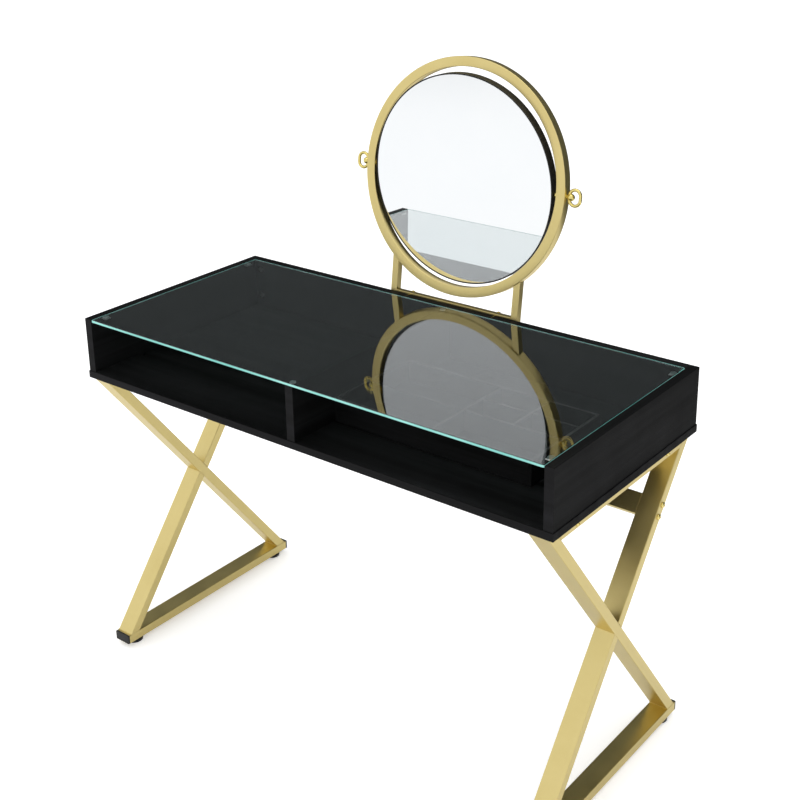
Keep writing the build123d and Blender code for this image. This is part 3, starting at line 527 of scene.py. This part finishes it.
def flat_outline(node, level, inset=0.0004):
    """The corners of a node's slice at one level, drawn in by a hair so the weld sits in it."""
    slice_half_height = 0.0005
    slice_y = [v.co.y for v in nodes[node].data.vertices if abs(v.co.z - level) < slice_half_height]
    low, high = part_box(node)
    return [
        Vector((x, y, level))
        for x, y in (
            (low[0] + inset, min(slice_y) + inset), (high[0] - inset, min(slice_y) + inset),
            (high[0] - inset, max(slice_y) - inset), (low[0] + inset, max(slice_y) - inset),
        )
    ]


for side in ("left", "right"):
    rail_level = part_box(f"{side}_bottom_rail")[1][2]
    feet = [flat_outline(f"{side}_{leg}", rail_level) for leg in ("through_leg", "lower_leg")]
    laid_weld(f"{side}_leg_foot_welds", feet)


# ---------------------------------------------------------------------------------------------
# Bolts of the cross rails and of the rear stretcher: round-headed, with a hexagon socket, and
# brightly gold plated, so they are yellower and shinier than the coated tubes.
# ---------------------------------------------------------------------------------------------
plate_low, plate_high = (0.76, 0.62, 0.20), (0.86, 0.72, 0.28)
gold_plate = plain_metal("bright_gold_plating", plate_low, plate_high, 0.18, 0.26, 0.00002)
for node in ("cross_rail_bolts", "stretcher_bolts", "stand_bolts"):
    finished(node, "root", gold_plate, 0.0002)


# ---------------------------------------------------------------------------------------------
# Rail caps and levelling feet: black moulded plastic. The caps push into the rails' open ends,
# and each foot's steel stem turns in a threaded nut in the rail.
# ---------------------------------------------------------------------------------------------
black_plastic = soft_plastic("black_moulded_plastic", (0.006,) * 3, (0.011,) * 3, 0.42, 0.4)
finished("rail_end_caps", "root", black_plastic, 0.0005, 3)
for end in ("left_front", "left_rear", "right_front", "right_rear"):
    finished(f"glide_{end}", f"foot_{end}", black_plastic, 0.0003)


# ---------------------------------------------------------------------------------------------
# Mirror stand. Two square posts and a crossbar of the same gold-coated steel, bolted to the
# rear of the back panel, carry a ring that is a square tube rolled into a circle.
# ---------------------------------------------------------------------------------------------
for node in ("left_post", "right_post", "stand_crossbar"):
    finished(node, "root", gold_coat, 0.0004)


def make_ring_tree():
    """A square tube with rounded corners, rolled into a full circle and leaned back."""
    tree = bpy.data.node_groups.new("rolled_ring", "GeometryNodeTree")
    tree.is_modifier = True
    face = tree.interface
    face.new_socket("Blank", in_out="INPUT", socket_type="NodeSocketGeometry")
    inputs = {}
    wanted = (
        ("Middle Radius", FLOAT), ("Band", FLOAT), ("Depth", FLOAT), ("Corner Radius", FLOAT),
        ("Centre", VECTOR), ("Turn", VECTOR), ("Finish", "NodeSocketMaterial"),
    )
    for label, kind in wanted:
        inputs[label] = face.new_socket(label, in_out="INPUT", socket_type=kind).identifier
    face.new_socket("Ring", in_out="OUTPUT", socket_type="NodeSocketGeometry")
    add = tree.nodes.new
    link = tree.links.new
    given, made = add("NodeGroupInput"), add("NodeGroupOutput")
    round_path = add("GeometryNodeCurvePrimitiveCircle")
    segments_round = 256
    round_path.inputs["Resolution"].default_value = segments_round
    link(given.outputs["Middle Radius"], round_path.inputs["Radius"])
    section = add("GeometryNodeCurvePrimitiveQuadrilateral")
    link(given.outputs["Band"], section.inputs["Width"])
    link(given.outputs["Depth"], section.inputs["Height"])
    corners = add("GeometryNodeFilletCurve")
    corners.mode = "POLY"
    corners.inputs["Count"].default_value = 4
    link(section.outputs["Curve"], corners.inputs["Curve"])
    link(given.outputs["Corner Radius"], corners.inputs["Radius"])
    swept = add("GeometryNodeCurveToMesh")
    link(round_path.outputs["Curve"], swept.inputs["Curve"])
    link(corners.outputs["Curve"], swept.inputs["Profile Curve"])
    leaned = add("GeometryNodeTransform")
    link(swept.outputs["Mesh"], leaned.inputs["Geometry"])
    link(given.outputs["Centre"], leaned.inputs["Translation"])
    link(given.outputs["Turn"], leaned.inputs["Rotation"])
    real = add("GeometryNodeRealizeInstances")
    link(leaned.outputs["Geometry"], real.inputs["Geometry"])
    coated = add("GeometryNodeSetMaterial")
    link(real.outputs["Geometry"], coated.inputs["Geometry"])
    link(given.outputs["Finish"], coated.inputs["Material"])
    link(coated.outputs["Geometry"], made.inputs["Ring"])
    return tree, inputs


ring_low, ring_high = (Vector(corner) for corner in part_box("mirror_ring"))
ring_outer = (ring_high.x - ring_low.x) / 2
ring_band = 0.020
ring_corner_radius = 0.0014
ring_centre = (ring_low + ring_high) / 2
stand_lean = math.radians(7.5)
ring_tree, ring_inputs = make_ring_tree()
ring_piece = bpy.data.objects.new("mirror_ring_finish", bpy.data.meshes.new("mirror_ring_finish"))
bpy.context.scene.collection.objects.link(ring_piece)
roller = ring_piece.modifiers.new("rolled ring", "NODES")
roller.node_group = ring_tree
roller[ring_inputs["Middle Radius"]] = ring_outer - ring_band / 2
roller[ring_inputs["Band"]] = ring_band
roller[ring_inputs["Depth"]] = ring_band
roller[ring_inputs["Corner Radius"]] = ring_corner_radius
roller[ring_inputs["Centre"]] = ring_centre
roller[ring_inputs["Turn"]] = (math.pi / 2 - stand_lean, 0.0, 0.0)
roller[ring_inputs["Finish"]] = gold_coat
settled(ring_piece)
ring_shell = bmesh.new()
ring_shell.from_mesh(ring_piece.data)
bmesh.ops.remove_doubles(ring_shell, verts=ring_shell.verts, dist=same_point)
bmesh.ops.recalc_face_normals(ring_shell, faces=ring_shell.faces)
ring_shell.to_mesh(ring_piece.data)
ring_shell.free()
ring_piece.data.polygons.foreach_set("use_smooth", [True] * len(ring_piece.data.polygons))
ring_piece.data.set_sharp_from_angle(angle=math.radians(15))
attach(ring_piece, "root")
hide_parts("mirror_ring")


# ---------------------------------------------------------------------------------------------
# Mirror. Silvered glass with a narrow ground edge, backed by fibre board and held in a black
# plastic rim. It turns about a level line through its middle.
# ---------------------------------------------------------------------------------------------
def silvered_glass():
    material, tree, where, surface = empty_material("silvered_glass")
    link = tree.links.new
    marks = wired(tree, "ShaderNodeGroup", node_tree=handling_marks)
    marks.inputs["Patch Scale"].default_value = 7.0
    link(where.outputs["Object"], marks.inputs["Coordinates"])
    shade = ranged(tree, marks.outputs["Patches"], 0.3, 0.7, 0.0, 1.0)
    silver = mixed_colour(tree, shade, (0.90, 0.92, 0.93), (0.92, 0.935, 0.94))
    link(silver, surface.inputs["Base Color"])
    rough = ranged(tree, marks.outputs["Patches"], 0.5, 0.8, 0.0, 0.01)
    link(rough, surface.inputs["Roughness"])
    surface.inputs["Metallic"].default_value = 1.0
    return material


board_low, board_high = (0.020, 0.017, 0.014), (0.034, 0.029, 0.024)
fibre_board = soft_plastic("dark_fibre_board", board_low, board_high, 0.75, 0.25)
finished("mirror_rim", "mirror", black_plastic, 0.0003)
finished("mirror_backing", "mirror", fibre_board)
flat_shaded(finished("mirror_glass", "mirror", silvered_glass()))


# ---------------------------------------------------------------------------------------------
# Pivots. A nylon bush in each side of the mirror takes the plain end of a thumb screw, which
# passes through a collar and the ring, and ends in a ball and an oval finger loop.
# ---------------------------------------------------------------------------------------------
nylon = soft_plastic("natural_nylon", (0.60, 0.58, 0.52), (0.72, 0.70, 0.65), 0.4, 0.4)
for side in ("left", "right"):
    finished(f"{side}_pivot_bush", "mirror", nylon, 0.0002)
    finished(f"{side}_pivot_collar", f"{side}_screw", gold_plate, 0.0)
    finished(f"{side}_thumb_screw", f"{side}_screw", gold_plate, 0.0)


# ---------------------------------------------------------------------------------------------
# Studio. A pale floor, a large soft light from the front left, one from above, and dark cards
# behind and to the right, which the camera doesn't see, so that turned-away metal stays dark.
# ---------------------------------------------------------------------------------------------
def stage_panel(name, corners, colour):
    """A flat panel that isn't part of the object."""
    mesh = bpy.data.meshes.new(name)
    mesh.from_pydata(corners, [], [(0, 1, 2, 3)])
    panel = bpy.data.objects.new(name, mesh)
    bpy.context.scene.collection.objects.link(panel)
    material, _, _, surface = empty_material(name + "_paint")
    surface.inputs["Base Color"].default_value = (*colour, 1.0)
    surface.inputs["Roughness"].default_value = 0.9
    surface.inputs["Specular IOR Level"].default_value = 0.1
    mesh.materials.append(material)
    return panel


floor_reach = 30.0
studio_floor = stage_panel(
    "studio_floor",
    [(-floor_reach, -floor_reach, 0), (floor_reach, -floor_reach, 0),
     (floor_reach, floor_reach, 0), (-floor_reach, floor_reach, 0)],
    (0.93, 0.93, 0.925),
)


def brighter_to_the_camera(panel, glow):
    """Lift what the camera sees of a panel, and leave what it throws on the object alone."""
    tree = panel.data.materials[0].node_tree
    rays = wired(tree, "ShaderNodeLightPath")
    lift = wired(tree, "ShaderNodeEmission", Color=(1.0, 1.0, 1.0, 1.0), Strength=glow)
    both = wired(tree, "ShaderNodeAddShader")
    choice = wired(tree, "ShaderNodeMixShader")
    paint = next(n for n in tree.nodes if n.type == "BSDF_PRINCIPLED")
    output = next(n for n in tree.nodes if n.type == "OUTPUT_MATERIAL")
    tree.links.new(paint.outputs[0], both.inputs[0])
    tree.links.new(lift.outputs[0], both.inputs[1])
    tree.links.new(rays.outputs["Is Camera Ray"], choice.inputs[0])
    tree.links.new(paint.outputs[0], choice.inputs[1])
    tree.links.new(both.outputs[0], choice.inputs[2])
    tree.links.new(choice.outputs[0], output.inputs["Surface"])


brighter_to_the_camera(studio_floor, 0.35)


def reflected_only(panel):
    """A card that shows only in metal, mirror and glass, and that throws no shade on the table."""
    panel.visible_camera = False
    panel.visible_shadow = False
    panel.visible_diffuse = False


card_side, card_far_left, card_rear, card_top = 3.4, -8.0, 2.6, 5.2
dark = (0.024, 0.026, 0.026)
charcoal = (0.080, 0.087, 0.087)
reflected_only(stage_panel(
    "dark_card_behind",
    [(card_far_left, card_rear, 0.0), (card_side, card_rear, 0.0),
     (card_side, card_rear, card_top), (card_far_left, card_rear, card_top)], charcoal,
))
reflected_only(stage_panel(
    "dark_card_on_rear_floor",
    [(-card_side, 1.7, 0.003), (card_side, 1.7, 0.003),
     (card_side, card_rear, 0.003), (-card_side, card_rear, 0.003)], dark,
))
reflected_only(stage_panel(
    "dark_card_rear_right",
    [(card_side, card_rear, 0.0), (card_side, -0.2, 0.0),
     (card_side, -0.2, card_top), (card_side, card_rear, card_top)], dark,
))


def soft_light(name, place, target, width, power):
    """A large square light panel that faces a point."""
    data = bpy.data.lights.new(name, "AREA")
    data.shape = "SQUARE"
    data.size = width
    data.energy = power
    lamp = bpy.data.objects.new(name, data)
    bpy.context.scene.collection.objects.link(lamp)
    lamp.location = place
    lamp.rotation_euler = (Vector(target) - Vector(place)).to_track_quat("-Z", "Y").to_euler()
    return lamp


front_left_light = soft_light("front_left_light", (-3.8, -4.0, 4.2), (0.0, 0.0, 0.6), 5.0, 34.0)
front_left_light.visible_glossy = False
soft_light("top_light", (0.3, 0.0, 5.2), (0.0, 0.0, 0.5), 4.0, 36.0)

world = bpy.data.worlds.new("studio")
bpy.context.scene.world = world
world.use_nodes = True
sky_tree = world.node_tree
room_light = sky_tree.nodes["Background"]
room_light.inputs["Color"].default_value = (0.98, 0.985, 1.0, 1.0)
room_light.inputs["Strength"].default_value = 1.0
white_backdrop = wired(sky_tree, "ShaderNodeBackground", Color=(1.0, 1.0, 1.0, 1.0), Strength=1.3)
sky_rays = wired(sky_tree, "ShaderNodeLightPath")
sky_choice = wired(sky_tree, "ShaderNodeMixShader")
sky_tree.links.new(sky_rays.outputs["Is Camera Ray"], sky_choice.inputs[0])
sky_tree.links.new(room_light.outputs[0], sky_choice.inputs[1])
sky_tree.links.new(white_backdrop.outputs[0], sky_choice.inputs[2])
sky_tree.links.new(sky_choice.outputs[0], sky_tree.nodes["World Output"].inputs["Surface"])

# The camera stands to the right of the table's front, above it, and looks slightly down.
camera_data = bpy.data.cameras.new("camera")
camera = bpy.data.objects.new("camera", camera_data)
bpy.context.scene.collection.objects.link(camera)
bpy.context.scene.camera = camera
camera_place = (1.5175, -1.8813, 1.7109)
turn = math.radians(38.311)
dip = math.radians(19.535)
tilt = math.radians(-0.925)
ahead = Vector((-math.sin(turn) * math.cos(dip), math.cos(turn) * math.cos(dip), -math.sin(dip)))
right = Vector((math.cos(turn), math.sin(turn), 0.0))
above = right.cross(ahead)
right_rolled = right * math.cos(tilt) + above * math.sin(tilt)
above_rolled = above * math.cos(tilt) - right * math.sin(tilt)
camera.matrix_world = Matrix.Translation(camera_place) @ Matrix(
    (right_rolled, above_rolled, -ahead)
).transposed().to_4x4()
camera_data.sensor_width = 36.0
camera_data.lens = 60.944
camera_data.shift_y = -0.14375

bpy.context.scene.view_settings.view_transform = "Standard"
